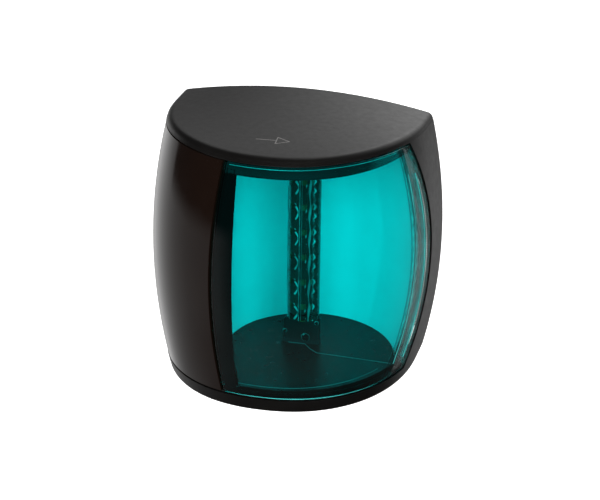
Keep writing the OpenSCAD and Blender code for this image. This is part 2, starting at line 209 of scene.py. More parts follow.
def ring_loft(name, ring, zs, **kw):
    """Closed solid from a ring of plan points that changes with height."""
    rings = [[(x, y, z if zf is None else zf) for (x, y), zf in ring(z)] for z in zs]
    m = len(rings[0])
    verts = [p for r in rings for p in r]
    faces = [tuple(range(m)), tuple((len(zs) - 1) * m + i for i in reversed(range(m)))]
    for j in range(len(zs) - 1):
        for i in range(m):
            k = (i + 1) % m
            faces.append((j * m + i, (j + 1) * m + i, (j + 1) * m + k, j * m + k))
    return new_piece(name, verts, faces, **kw)


def lathe(profile, n=32):
    """Closed solid of revolution about Z from (radius, z) points that start and end on the axis."""
    verts, faces = [], []
    rows = []
    for r, z in profile:
        if r < 1e-9:
            rows.append([len(verts)])
            verts.append((0.0, 0.0, z))
        else:
            rows.append(list(range(len(verts), len(verts) + n)))
            verts += [(r * math.cos(2 * math.pi * k / n), r * math.sin(2 * math.pi * k / n), z) for k in range(n)]
    for a, b in zip(rows, rows[1:]):
        for k in range(n):
            l = (k + 1) % n
            if len(a) == 1 and len(b) == 1:
                continue
            if len(a) == 1:
                faces.append((a[0], b[k], b[l]))
            elif len(b) == 1:
                faces.append((a[k], b[0], a[l]))
            else:
                faces.append((a[k], b[k], b[l], a[l]))
    return verts, faces


def placed(parts):
    """Joins (verts, faces, matrix) groups into one list."""
    V, F = [], []
    for verts, faces, m in parts:
        n = len(V)
        V += [tuple(m @ Vector(v)) for v in verts]
        F += [tuple(n + k for k in f) for f in faces]
    return V, F


def tube(path, r, n=8, caps=True):
    P = [Vector(p) for p in path]
    T = []
    for i in range(len(P)):
        a = P[max(i - 1, 0)]
        b = P[min(i + 1, len(P) - 1)]
        T.append((b - a).normalized())
    ref = Vector((0.13, 1, 0.21))
    verts, faces = [], []
    for i, p in enumerate(P):
        u = T[i].cross(ref).normalized()
        v = T[i].cross(u)
        rr = r(i / (len(P) - 1)) if callable(r) else r
        verts += [tuple(p + rr * (math.cos(2 * math.pi * k / n) * u + math.sin(2 * math.pi * k / n) * v)) for k in range(n)]
    for i in range(len(P) - 1):
        for k in range(n):
            l = (k + 1) % n
            faces.append((i * n + k, (i + 1) * n + k, (i + 1) * n + l, i * n + l))
    faces.append(tuple(range(n)))
    faces.append(tuple((len(P) - 1) * n + k for k in reversed(range(n))))
    return verts, faces


IDENT = Matrix.Identity(4)
AT_COL = Matrix.Translation(Vector((COLX, -COLY, 0))) @ Matrix.Rotation(math.radians(TURN), 4, "Z")

# ------------------------------------------------------------------ materials
def material(name):
    m = bpy.data.materials.new(name)
    m.use_nodes = True
    nt = m.node_tree
    b = next(n for n in nt.nodes if n.type == "BSDF_PRINCIPLED")
    return m, nt, b


def coords(nt, scale=1.0):
    tc = nt.nodes.new("ShaderNodeTexCoord")
    mp = nt.nodes.new("ShaderNodeMapping")
    mp.inputs["Scale"].default_value = (scale, scale, scale) if not isinstance(scale, tuple) else scale
    nt.links.new(tc.outputs["Object"], mp.inputs["Vector"])
    return mp.outputs["Vector"]


def noise(nt, vec, scale, detail=3.0, rough=0.5):
    n = nt.nodes.new("ShaderNodeTexNoise")
    n.inputs["Scale"].default_value = scale
    n.inputs["Detail"].default_value = detail
    n.inputs["Roughness"].default_value = rough
    nt.links.new(vec, n.inputs["Vector"])
    return n.outputs["Fac"]


def ramp(nt, fac, stops):
    r = nt.nodes.new("ShaderNodeValToRGB")
    el = r.color_ramp.elements
    while len(el) > 1:
        el.remove(el[-1])
    el[0].position = stops[0][0]
    for p, c in stops[1:]:
        el.new(p)
    for e, (p, c) in zip(el, stops):
        e.color = (*c, 1) if isinstance(c, tuple) else (c, c, c, 1)
    nt.links.new(fac, r.inputs["Fac"])
    return r.outputs["Color"]


def math_node(nt, op, a, b=None, c=None, clamp=False):
    n = nt.nodes.new("ShaderNodeMath")
    n.operation = op
    n.use_clamp = clamp
    for k, v in enumerate((a, b, c)):
        if v is None:
            continue
        if isinstance(v, (int, float)):
            n.inputs[k].default_value = v
        else:
            nt.links.new(v, n.inputs[k])
    return n.outputs[0]


def bump(nt, height, strength, distance, normal=None):
    b = nt.nodes.new("ShaderNodeBump")
    b.inputs["Strength"].default_value = strength
    b.inputs["Distance"].default_value = distance
    nt.links.new(height, b.inputs["Height"])
    if normal is not None:
        nt.links.new(normal, b.inputs["Normal"])
    return b.outputs["Normal"]


def mix_rgb(nt, fac, a, b):
    n = nt.nodes.new("ShaderNodeMix")
    n.data_type = "RGBA"
    for key, v in (("Factor", fac), ("A", a), ("B", b)):
        s = [x for x in n.inputs if x.name == key and (x.type == ("VALUE" if key == "Factor" else "RGBA"))][0]
        if isinstance(v, (int, float)):
            s.default_value = v
        elif isinstance(v, tuple):
            s.default_value = (*v, 1)
        else:
            nt.links.new(v, s)
    return [x for x in n.outputs if x.type == "RGBA"][0]


def edge_wear(nt, lo=0.52, hi=0.62):
    g = nt.nodes.new("ShaderNodeNewGeometry")
    return ramp(nt, g.outputs["Pointiness"], [(lo, 0.0), (hi, 1.0)])


def moulded(name, dark, light, rough, grain=2600.0, depth=0.00004, strength=0.35, wear=0.25, spec=0.5):
    """Grained moulded plastic: colour mottle, fine grain, roughness patches and lighter edges."""
    m, nt, b = material(name)
    v = coords(nt)
    big = noise(nt, v, 90.0, 4.0)
    fine = noise(nt, v, grain, 2.0, 0.6)
    mid = noise(nt, v, grain / 5, 3.0, 0.55)
    col = ramp(nt, big, [(0.3, dark), (0.7, light)])
    if wear:
        w = math_node(nt, "MULTIPLY", edge_wear(nt), wear)
        col = mix_rgb(nt, w, col, tuple(min(1.0, c * 2.2 + 0.008) for c in light))
    nt.links.new(col, b.inputs["Base Color"])
    r = math_node(nt, "MULTIPLY_ADD", mid, 0.16, rough - 0.08)
    nt.links.new(r, b.inputs["Roughness"])
    h = math_node(nt, "ADD", math_node(nt, "MULTIPLY", fine, 0.7), math_node(nt, "MULTIPLY", mid, 0.5))
    nt.links.new(bump(nt, h, strength, depth), b.inputs["Normal"])
    b.inputs["Specular IOR Level"].default_value = spec
    return m


def tinted_glass(name, base, rough=0.0, ior=1.49, shadow=None, bump_s=0.02, bump_scale=120.0):
    """Clear or tinted moulded optic. Lamps reach what is behind it through a clear tint."""
    m, nt, b = material(name)
    v = coords(nt)
    b.inputs["Base Color"].default_value = (*base, 1)
    b.inputs["Transmission Weight"].default_value = 1.0
    b.inputs["IOR"].default_value = ior
    n1 = noise(nt, v, bump_scale, 2.0)
    n2 = noise(nt, v, 900.0, 2.0)
    nt.links.new(ramp(nt, n2, [(0.45, rough), (0.75, rough + 0.03)]), b.inputs["Roughness"])
    nt.links.new(bump(nt, n1, bump_s, 0.0002), b.inputs["Normal"])
    lp = nt.nodes.new("ShaderNodeLightPath")
    tr = nt.nodes.new("ShaderNodeBsdfTransparent")
    tr.inputs["Color"].default_value = (*(shadow or base), 1)
    mx = nt.nodes.new("ShaderNodeMixShader")
    out = next(n for n in nt.nodes if n.type == "OUTPUT_MATERIAL")
    nt.links.new(lp.outputs["Is Shadow Ray"], mx.inputs[0])
    nt.links.new(b.outputs[0], mx.inputs[1])
    nt.links.new(tr.outputs[0], mx.inputs[2])
    nt.links.new(mx.outputs[0], out.inputs["Surface"])
    return m


def metal(name, colour, rough, brushed=None):
    m, nt, b = material(name)
    v = coords(nt, brushed or 1.0)
    n = noise(nt, v, 700.0, 4.0)
    nt.links.new(ramp(nt, noise(nt, coords(nt), 250.0, 3.0), [(0.3, tuple(c * 0.82 for c in colour)), (0.7, colour)]), b.inputs["Base Color"])
    b.inputs["Metallic"].default_value = 1.0
    nt.links.new(math_node(nt, "MULTIPLY_ADD", n, 0.22, rough - 0.08), b.inputs["Roughness"])
    nt.links.new(bump(nt, n, 0.12, 0.00003), b.inputs["Normal"])
    return m


def set_material(o, m):
    if isinstance(o, str):
        o = NODES[o]
    if not o.data.materials:
        o.data.materials.append(m)
    for k in range(len(o.data.materials)):
        o.data.materials[k] = m
    return o


def segment_mask(nt, vec_xyz, segs, half):
    """1 within half a width of any of the given plan segments (metres)."""
    x, y = vec_xyz.outputs["X"], vec_xyz.outputs["Y"]
    best = None
    for (ax, ay), (bx, by) in segs:
        dx, dy = bx - ax, by - ay
        L2 = dx * dx + dy * dy
        px = math_node(nt, "SUBTRACT", x, ax)
        py = math_node(nt, "SUBTRACT", y, ay)
        t = math_node(nt, "ADD", math_node(nt, "MULTIPLY", px, dx / L2), math_node(nt, "MULTIPLY", py, dy / L2), clamp=True)
        ex = math_node(nt, "SUBTRACT", px, math_node(nt, "MULTIPLY", t, dx))
        ey = math_node(nt, "SUBTRACT", py, math_node(nt, "MULTIPLY", t, dy))
        d = math_node(nt, "SQRT", math_node(nt, "ADD", math_node(nt, "MULTIPLY", ex, ex), math_node(nt, "MULTIPLY", ey, ey)))
        best = d if best is None else math_node(nt, "MINIMUM", best, d)
    return math_node(nt, "LESS_THAN", best, half)


BLACK = moulded("nylon_grained", (0.0020, 0.0018, 0.0017), (0.0034, 0.0031, 0.0029), 0.40, spec=0.38)
# the housing also carries a plain etched arrow on its top
HOUSING = moulded("nylon_housing", (0.0020, 0.0018, 0.0017), (0.0034, 0.0031, 0.0029), 0.40, spec=0.38, strength=0.55)
nt = HOUSING.node_tree
pb = next(n for n in nt.nodes if n.type == "BSDF_PRINCIPLED")
geo = nt.nodes.new("ShaderNodeTexCoord")
sep = nt.nodes.new("ShaderNodeSeparateXYZ")
nt.links.new(geo.outputs["Object"], sep.inputs[0])
A = [(-4.6, -41.4), (1.0, -41.2), (1.0, -38.9), (4.8, -41.1), (1.3, -43.5)]
A = [(x * MM, y * MM) for x, y in A]
mask = segment_mask(nt, sep, [(A[0], A[1]), (A[2], A[3]), (A[3], A[4]), (A[4], A[2])], 0.00016)
high = math_node(nt, "GREATER_THAN", sep.outputs["Z"], 0.036)
mask = math_node(nt, "MULTIPLY", mask, high)
old = pb.inputs["Base Color"].links[0].from_socket
nt.links.new(mix_rgb(nt, mask, old, (0.16, 0.155, 0.15)), pb.inputs["Base Color"])

SCREEN = moulded("gloss_screen", (0.0044, 0.0021, 0.0014), (0.0054, 0.0027, 0.0018), 0.10, grain=1500.0, depth=0.00001, strength=0.03, wear=0.12)
LENS = tinted_glass("lens_green", (0.010, 0.90, 0.91), 0.0, 1.49, shadow=(0.010, 0.90, 0.91))


def lens_side_painted_reflection(m):
    """The ribbed border beside the right frame: its streaked bands of darker and paler tint are painted shade and
    painted reflection, over a rippled bump.
    """
    nt = m.node_tree
    b = next(n for n in nt.nodes if n.type == "BSDF_PRINCIPLED")
    tc = nt.nodes.new("ShaderNodeTexCoord")
    sp = nt.nodes.new("ShaderNodeSeparateXYZ")
    nt.links.new(tc.outputs["Object"], sp.inputs[0])
    X = math_node(nt, "MULTIPLY", sp.outputs["X"], 1000.0)
    Y = math_node(nt, "MULTIPLY", sp.outputs["Y"], -1000.0)
    Z = math_node(nt, "MULTIPLY", sp.outputs["Z"], 1000.0)
    z2 = math_node(nt, "MULTIPLY", Z, Z)
    yf = math_node(nt, "ADD", math_node(nt, "MULTIPLY_ADD", z2, 0.0088, 14.88), math_node(nt, "MULTIPLY", math_node(nt, "MULTIPLY", z2, z2), -0.000001))
    zs = math_node(nt, "ADD", Z, 7.0)
    width = math_node(nt, "MULTIPLY_ADD", math_node(nt, "MULTIPLY", zs, zs), -0.0055, 15.0)
    t = math_node(nt, "DIVIDE", math_node(nt, "SUBTRACT", Y, yf), math_node(nt, "MAXIMUM", width, 4.0))
    side = math_node(nt, "GREATER_THAN", X, 26.0)
    streak_v = nt.nodes.new("ShaderNodeCombineXYZ")
    nt.links.new(math_node(nt, "MULTIPLY_ADD", t, 26.0, math_node(nt, "MULTIPLY", Z, 0.10)), streak_v.inputs[0])
    nt.links.new(math_node(nt, "MULTIPLY", Z, 0.42), streak_v.inputs[1])
    streak = noise(nt, streak_v.outputs[0], 1.0, 4.0, 0.6)
    # bands of darker and paler tint across the border: painted shade and painted reflection
    tone = ramp(nt, math_node(nt, "MULTIPLY", t, 0.8, clamp=True), [
        (0.00, (0.01, 0.05, 0.05)), (0.05, (0.01, 0.24, 0.22)), (0.16, (0.01, 0.26, 0.24)), (0.21, (0.02, 0.30, 0.28)),
        (0.225, (0.01, 0.08, 0.08)), (0.24, (0.22, 0.60, 0.58)), (0.30, (0.24, 0.62, 0.60)), (0.33, (0.10, 0.62, 0.60)), (0.36, (0.06, 0.62, 0.60)), (0.385, (0.03, 0.18, 0.18)),
        (0.55, (0.03, 0.22, 0.22)), (0.58, (0.01, 0.07, 0.07)), (0.60, (0.01, 0.20, 0.20)), (0.62, (0.02, 0.55, 0.53)),
        (0.645, (0.04, 0.80, 0.74)), (0.66, (0.02, 0.50, 0.48)), (0.685, (0.01, 0.30, 0.31)), (0.705, (0.01, 0.22, 0.24)), (0.72, (0.01, 0.85, 0.88)), (0.74, (0.010, 0.90, 0.91))])
    # streaked dapple on those bands, part of the painted reflection
    reflection_dapple = ramp(nt, streak, [(0.36, 0.35), (0.5, 0.9), (0.66, 1.7)])
    in_zone = math_node(nt, "MULTIPLY", math_node(nt, "LESS_THAN", t, 0.84), side)
    mul = nt.nodes.new("ShaderNodeVectorMath")
    mul.operation = "MULTIPLY"
    nt.links.new(tone, mul.inputs[0])
    nt.links.new(mix_rgb(nt, in_zone, (1, 1, 1), reflection_dapple), mul.inputs[1])
    nt.links.new(mix_rgb(nt, side, (0.010, 0.90, 0.91), mul.outputs[0]), b.inputs["Base Color"])
    old = b.inputs["Normal"].links[0].from_socket
    ripple = math_node(nt, "MULTIPLY", math_node(nt, "MULTIPLY", streak, in_zone), math_node(nt, "LESS_THAN", t, 0.78))
    nt.links.new(bump(nt, ripple, 0.8, 0.00045, old), b.inputs["Normal"])


lens_side_painted_reflection(LENS)
CLEAR = tinted_glass("optic_clear", (0.52, 0.66, 0.66), 0.0, 1.50, bump_s=0.08, bump_scale=700.0)
SEAL = moulded("seal_rubber", (0.008, 0.008, 0.008), (0.014, 0.014, 0.014), 0.7, grain=1800.0, strength=0.2, wear=0.0)
REFLECT = moulded("reflector_white", (0.84, 0.86, 0.85), (0.88, 0.90, 0.89), 0.42, grain=1200.0, depth=0.00001, strength=0.06, wear=0.0)
BAFFLE = moulded("baffle_black", (0.0011, 0.0013, 0.0013), (0.0018, 0.0022, 0.0021), 0.30, spec=0.18, grain=2000.0, strength=0.04, wear=0.0)
# faces that look up get a lighter colour: painted light
nt = BAFFLE.node_tree
pb = next(n for n in nt.nodes if n.type == "BSDF_PRINCIPLED")
g = nt.nodes.new("ShaderNodeNewGeometry")
sp = nt.nodes.new("ShaderNodeSeparateXYZ")
nt.links.new(g.outputs["Normal"], sp.inputs[0])
upward_painted_light = ramp(nt, sp.outputs["Z"], [(0.6, 0.0), (0.9, 1.0)])
old = pb.inputs["Base Color"].links[0].from_socket
nt.links.new(mix_rgb(nt, upward_painted_light, old, (0.0115, 0.0135, 0.0130)), pb.inputs["Base Color"])
# lighter copy of the baffle plastic for the ceiling and the foot: painted light
BAFFLE_LIT_COPY = moulded("baffle_painted_lit", (0.0100, 0.0125, 0.0122), (0.0145, 0.0180, 0.0175), 0.34, strength=0.3, wear=0.2, spec=0.2)
BEAD_HIGHLIGHT = moulded("border_highlight_bead", (0.16, 0.24, 0.23), (0.70, 0.82, 0.80), 0.22, grain=1500.0, depth=0.00006, strength=0.7, wear=0.0)
# pale colour of the floor's step line and front lip: painted highlight
STEP_HIGHLIGHT = moulded("floor_step_highlight_line", (0.080, 0.100, 0.098), (0.120, 0.145, 0.140), 0.35, strength=0.2, wear=0.0)
# pale colour of the marks in the bar and on the pegs: painted highlights
FACET_HIGHLIGHT = moulded("optic_facet_highlights", (0.10, 0.15, 0.14), (0.52, 0.63, 0.59), 0.16, grain=2600.0, depth=0.00006, strength=0.7, wear=0.0)
BOARD = moulded("solder_mask", (0.012, 0.050, 0.042), (0.018, 0.075, 0.062), 0.35, grain=1400.0, strength=0.12, wear=0.3)
CHIP = moulded("component_body", (0.012, 0.012, 0.013), (0.022, 0.022, 0.024), 0.5, strength=0.2)
FERRITE = moulded("ferrite_body", (0.035, 0.035, 0.038), (0.06, 0.06, 0.063), 0.6, strength=0.4)
EMIT = moulded("emitter_phosphor", (0.24, 0.22, 0.10), (0.36, 0.32, 0.15), 0.35, strength=0.1, wear=0.0)
SLEEVE = moulded("wire_sleeve", (0.22, 0.016, 0.012), (0.30, 0.022, 0.016), 0.4, strength=0.1, wear=0.0)
CAN = metal("capacitor_can", (0.38, 0.41, 0.50), 0.35)
STEEL = metal("screw_steel", (0.66, 0.66, 0.68), 0.28)
ALU = metal("spreader_aluminium", (0.52, 0.53, 0.55), 0.40, brushed=(1.0, 1.0, 0.06))
BRASS = metal("insert_brass", (0.74, 0.55, 0.25), 0.26)

# ------------------------------------------------------------------ housing: base, right frame, top and rear rim
def housing():
    qs = (spaced(0, 1, 6) + spaced(1, 2, 8, 0.06, 1) + spaced(2, 3, 64) + spaced(3, 4, 40)
          + spaced(4, REAR_Q, 4) + spaced(REAR_Q, 5, 5, 0.06, 1))
    qs = sorted(set(qs))
    base = [("disc", l) for l in (0, 0.3, 0.6, 0.8, 0.92)]
    baser = 0.9
    edge = []
    for a in (0, 22.5, 45, 67.5, 90):
        edge.append(("base", baser * (1 - math.sin(math.radians(a))), baser * (1 - math.cos(math.radians(a))), a))
    rim = [("rim", z) for z in (-37.4, -36.6, -35.9, -35.4)]
    win = [("win", f) for f in spaced(0, 1, 44, 0.010, 1)]
    cap = [("cap", d) for d in (0.12,)]
    top = [("edge", a) for a in (0, 15, 30, 45, 60, 75, 90)]
    disc = [("top", l) for l in (0.985, 0.95, 0.88, 0.78, 0.66, 0.54, 0.42, 0.3, 0.18, 0.08, 0)]
    rows = base + edge + rim + win + cap + top + disc

    def outer(r, q):
        k = r[0]
        if k == "disc":
            x, y = skin_xy(-HH, q, baser)
            return (x * r[1], y * r[1], -HH)
        if k == "base":
            z = -HH + r[2]
            return (*skin_xy(z, q, r[1]), z)
        if k == "rim":
            return (*skin_xy(r[1], q, 0), r[1])
        if k == "win":
            z = lerp(SEAM_LO, seam_hi(q), r[1])
            return (*skin_xy(z, q, 0), z)
        if k == "cap":
            z = seam_hi(q) + r[1]
            return (*skin_xy(z, q, 0), z)
        if k == "edge":
            a = math.radians(r[1])
            p = skin_xy(edge_z(q), q, TOP_R * (1 - math.cos(a)))
            return (*p, top_z(*p) - TOP_R + TOP_R * math.sin(a))
        p = skin_xy(edge_z(q), q, TOP_R)
        p = (p[0] * r[1], p[1] * r[1])
        return (*p, top_z(*p))

    def inner(r, q):
        k = r[0]
        if k == "disc":
            x, y = skin_xy(-HH, q, WALL + 0.6)
            return (x * r[1], y * r[1], -HH + 2.2)
        if k == "base":
            f = r[3] / 90
            z = -HH + 2.2
            return (*skin_xy(z, q, lerp(WALL + 0.6, WALL + 0.15, f)), z)
        if k == "rim":
            z = max(r[1], -HH + 2.2 + (r[1] + 37.4) * 0.3 + 0.1)
            return (*skin_xy(z, q, WALL), z)
        if k == "win":
            z = lerp(SEAM_LO, seam_hi(q), r[1])
            return (*skin_xy(z, q, WALL), z)
        if k == "cap":
            p = skin_xy(edge_z(q), q, WALL)
            return (*p, top_z(*p) - BAND + 0.03)
        if k == "edge":
            f = r[1] / 90
            p = skin_xy(edge_z(q), q, WALL + 0.05 + 0.5 * f)
            return (*p, top_z(*p) - BAND + 0.05 + 0.15 * f)
        p = skin_xy(edge_z(q), q, WALL + 0.55)
        p = (p[0] * r[1], p[1] * r[1])
        return (*p, top_z(*p) - BAND + 0.2)

    O = [[outer(r, q) for q in qs] for r in rows]
    I = [[inner(r, q) for q in qs] for r in rows]
    def on(j, i):
        return not (rows[j][0] == "win" and rows[j + 1][0] == "win" and qs[i] >= 2 - 1e-6 and qs[i + 1] <= REAR_Q + 1e-6)
    verts, faces = shell(O, I, on)
    faces = drop_degenerate(verts, faces, None)
    # the walls at the disc centres close nothing: the centre is one point on each skin
    R, C = len(rows), len(qs)
    n = R * C
    bad = {frozenset((a, b, n + a, n + b)) for j in (0, R - 1) for a, b in zip(range(j * C, j * C + C - 1), range(j * C + 1, j * C + C))}
    faces = [f for f in faces if frozenset(f) not in bad]
    o = new_piece("housing", verts, faces, node="housing_shell", slot="housing_black", merge=2e-7)
    bevel(o, 0.22, 3, 40)
    return set_material(o, HOUSING)


HOUSE = housing()

# ------------------------------------------------------------------ lens and gloss screen
lens = strip("lens", 2.010, 2.995, 96, LENS_IN, IN_OFF, SEAM_LO + 0.5, -0.5, 60, node="outer_lens", slot="lens_green")
bevel(lens, 0.3, 3, 40)
set_material(lens, LENS)
screen = strip("screen", 3.009, REAR_Q - 0.03, 70, LENS_IN - 0.1, IN_OFF, SEAM_LO + 0.5, -0.5, 60, node="side_screen", slot="screen_gloss")
bevel(screen, 0.35, 3, 40)
set_material(screen, SCREEN)


# pale tint for the lines along the lens edges: painted highlights
RIM_HIGHLIGHT = moulded("lens_edge_highlight", (0.02, 0.20, 0.19), (0.06, 0.46, 0.44), 0.25, grain=1800.0, strength=0.3, wear=0.0)


def edge_y(z):
    return front_pt(z, frame_a(z), 0)[1]


def at_side(z, t, off):
    """Skin point on the right, t across the border that runs beside the frame."""
    y = edge_y(z) - t * (15.0 - 0.0055 * (z + 7) ** 2)
    d = D0 - BD * kz(z)
    s = min(1.0, max(0.0, (-S0 - y) / (d - S0)))
    a = math.degrees(math.asin(min(1.0, s ** (PW / 2))))
    return (*front_pt(z, a, off), z)


def lens_edge_highlights():
    parts = []
    # lines along the lower, upper and right-side lens edges: painted highlights
    low = [(*skin_xy(SEAM_LO + 0.72, q, 0.30), SEAM_LO + 0.72) for q in spaced(2.22, 2.985, 120)]
    parts.append((*tube(low, lambda f: 0.05 + 0.10 * math.sin(math.pi * f) ** 0.5, 8), IDENT))
    top = []
    for q in spaced(2.12, 2.97, 120):
        z = seam_hi(q) - 1.15
        top.append((*skin_xy(z, q, 0.30), z))
    parts.append((*tube(top, 0.10, 8), IDENT))
    side = [at_side(z, 0.42, 0.27) for z in np.linspace(-30, 26, 120).tolist()]
    parts.append((*tube(side, 0.17, 8), IDENT))
    side = [at_side(z, 0.85, 0.27) for z in np.linspace(-30, 27, 120).tolist()]
    parts.append((*tube(side, 0.13, 8), IDENT))
    o = new_piece("lens_edge_highlights", *placed(parts), slot="lens_green")
    return set_material(o, RIM_HIGHLIGHT)


def edge_teeth():
    """A row of small slanted teeth beside the lens border."""
    parts = []
    zs = np.linspace(-21, 22, 58).tolist()
    for k, z in enumerate(zs):
        h = 0.18
        pts = [at_side(z + h * (2 * f - 1), 0.325 - 0.055 * (2 * f - 1), 0.13) for f in (0, 0.25, 0.5, 0.75, 1)]
        parts.append((*tube(pts, lambda f: 0.07 + 0.09 * math.sin(math.pi * f), 7), IDENT))
    o = new_piece("edge_teeth", *placed(parts), slot="baffle_black")
    set_material(o, BAFFLE)
    # pale bead that the teeth stand on; its pale colour is a painted highlight
    bead = [at_side(z, 0.325, 0.32) for z in np.linspace(-27, 24, 130).tolist()]
    o = new_piece("border_highlight_bead", *placed([(*tube(bead, lambda f: 0.26 * math.sin(math.pi * min(1.0, max(0.0, f))) ** 0.25 + 0.02, 8), IDENT)]), slot="lens_green")
    return set_material(o, BEAD_HIGHLIGHT)


lens_edge_highlights()
edge_teeth()


def seal(name, node, top):
    qs = spaced(2.012, REAR_Q - 0.035, 120)
    def z(q, f):
        return (seam_hi(q) - 0.49 + 0.48 * f) if top else (SEAM_LO + 0.01 + 0.48 * f)
    def grid(off, crown=0.0):
        return [[(*skin_xy(z(q, f), q, off + crown * abs(f - 0.5)), z(q, f)) for q in qs] for f in (0, 0.25, 0.5, 0.75, 1)]
    o = new_piece(name, *shell(grid(0.75, 0.3), grid(2.35)), node=node, slot="seal_black")
    return set_material(o, SEAL)


seal("upper_seal", "top_seam_seal", True)
seal("lower_seal", "base_seam_seal", False)

# ------------------------------------------------------------------ light chamber
def ch_arc(a, g):
    return (CH[0] + (CH[2] + g) * math.cos(math.radians(a)), -CH[1] + (CH[3] + g) * math.sin(math.radians(a)))


def right_end(z, off):
    """Where the reflector's side return meets the lens side."""
    return front_pt(z, 15.5 + 4.0 * (abs(z) / 33) ** 2, off)


def reflector():
    zs = spaced(-34, 33.5, 40)
    def path(z, g):
        e = right_end(z, LAND + 0.35)
        rx = e[0] - 0.6 - CH[0]
        pts = [(e[0], e[1] + g)]
        for a in np.linspace(4, 179, 84).tolist():
            r = rx - 1.1 * math.sin(math.radians(2 * a)) ** 2 if a < 90 else CH[2]
            c = math.cos(math.radians(a))
            pts.append((CH[0] + (r + g * (a > 20)) * c, -CH[1] + (CH[3] + g) * math.sin(math.radians(a)) + (e[1] + CH[1] - 1.2) * max(0.0, c) ** 4))
        return pts
    O = [[(x, y, z) for x, y in path(z, 0.8)] for z in zs]
    I = [[(x, y, z) for x, y in path(z, 0.0)] for z in zs]
    v1, f1 = shell(O, I)
    # side return that runs back beside the lens, behind a fine joint
    def ret(z, off):
        a1 = 15.0 + 4.0 * (abs(z) / 33) ** 2
        a0 = min(frame_a(z) + 0.6, a1 - 1.2)
        return [front_pt(z, lerp(a1, a0, f), off) for f in (0, 0.25, 0.5, 0.75, 1)]
    O = [[(x, y, z) for x, y in ret(z, LAND + 0.1)] for z in zs]
    I = [[(x, y, z) for x, y in ret(z, LAND + 0.9)] for z in zs]
    v2, f2 = shell(O, I)
    v, f = placed([(v1, f1, IDENT), (v2, f2, IDENT)])
    o = new_piece("reflector_wall", v, f, node="reflector", slot="reflector_white")
    bevel(o, 0.15, 2, 50)
    return set_material(o, REFLECT)


reflector()


def shroud():
    def ring(z):
        pts = [front_pt(z, a, LAND) for a in np.arange(99.8, 109.5, 1.2)]
        pts += [front_pt(z, 109.4, LAND + 1.6), front_pt(z, 102.6, LAND + 1.8), (-18.6, -27.2), (-17.0, -26.6)]
        return [(p, None) for p in pts]
    o = ring_loft("shroud", ring, spaced(-33.6, 33.4, 40), node="side_shroud", slot="baffle_black")
    bevel(o, 0.2, 2, 40)
    return set_material(o, BAFFLE)


shroud()


def plate_plan(z, g):
    p = front_pt(z, 98.6, LAND)
    pts = [ch_arc(a, -g) for a in range(5, 178, 3)] + [(-16.4 + g, -27), (p[0] + g, p[1])]
    pts += [front_pt(z, a, LAND) for a in np.arange(97, 19, -1.5)]
    e = right_end(z, LAND + 0.4)
    return pts + [(e[0], e[1] - 0.4)]


def plate(top, bottom, zplan, g=0.2):
    """Closed plate from its plan, with a height function for each face."""
    P = plate_plan(zplan, g)
    m = len(P)
    cx, cy = 6.0, -30.0
    rings = (1.0, 0.97, 0.8, 0.55, 0.3)
    verts = []
    def pt(k, l):
        return (cx + (P[k][0] - cx) * l, cy + (P[k][1] - cy) * l)
    for face in (top, bottom):
        for l in rings:
            for k in range(m):
                x, y = pt(k, l)
                verts.append((x, y, face(x, y)))
        verts.append((cx, cy, face(cx, cy)))
    n = len(rings) * m + 1
    faces = []
    for s in (0, n):
        for j in range(len(rings) - 1):
            for k in range(m):
                l = (k + 1) % m
                faces.append((s + j * m + k, s + j * m + l, s + (j + 1) * m + l, s + (j + 1) * m + k))
        for k in range(m):
            faces.append((s + (len(rings) - 1) * m + k, s + (len(rings) - 1) * m + (k + 1) % m, s + n - 1))
    for k in range(m):
        l = (k + 1) % m
        faces.append((k, l, n + l, n + k))
    return verts, faces


def band(z0, z1, a0, a1, off, t):
    """Band behind the lens that follows the barrel."""
    zs = spaced(z0, z1, 8)
    an = spaced(a0, a1, 60)
    O = [[(*front_pt(z, a, off), z) for a in an] for z in zs]
    I = [[(*front_pt(z, a, off + t), z) for a in an] for z in zs]
    return shell(O, I)


def ceiling():
    v1 = plate(lambda x, y: CEIL_Z, lambda x, y: CEIL_Z + 1.4, 32)
    v2 = band(CEIL_Z, 35.8, 16.5, 106.5, LAND, 1.3)
    o = new_piece("ceiling", *placed([(*v1, IDENT), (*v2, IDENT)]), node="ceiling_baffle", slot="baffle_black")
    bevel(o, 0.2, 2, 40)
    return set_material(o, BAFFLE_LIT_COPY)


def floor_plate():
    v1 = plate(lambda x, y: floor_at(y), lambda x, y: floor_at(y) - 1.4, 32.6)
    v2 = band(-35.6, -32.55, 18.0, 106.5, LAND, 1.3)
    # curved lip along the front of the plate, in the painted-highlight colour of the step line
    lip = [(*front_pt(-32, a, LAND + 1.5), 0) for a in np.arange(100, 30, -2)]
    lip = [(x, y, floor_at(y) + 0.03) for x, y, _ in lip]
    v4 = tube(lip, 0.12, 8)
    o = new_piece("chamber_floor", *placed([(*v1, IDENT), (*v2, IDENT)]), node="floor_baffle", slot="baffle_black")
    bevel(o, 0.12, 2, 50)
    set_material(o, BAFFLE)
    # step line across the floor: a fine ridge in a painted-highlight colour
    line = [(0.9, -23.25), (3.4, -23.25), (5.8, -23.25), (8.3, -26.1), (10.5, -27.8), (17.0, -28.15), (24.0, -28.5), (31.4, -28.9)]
    ridge = [(x, y, floor_at(y) + 0.05) for x, y in line]
    o = new_piece("floor_step_highlights", *placed([(*tube(ridge, 0.13, 8), IDENT), (*v4, IDENT)]), slot="baffle_black")
    return set_material(o, STEP_HIGHLIGHT)


ceiling()
floor_plate()

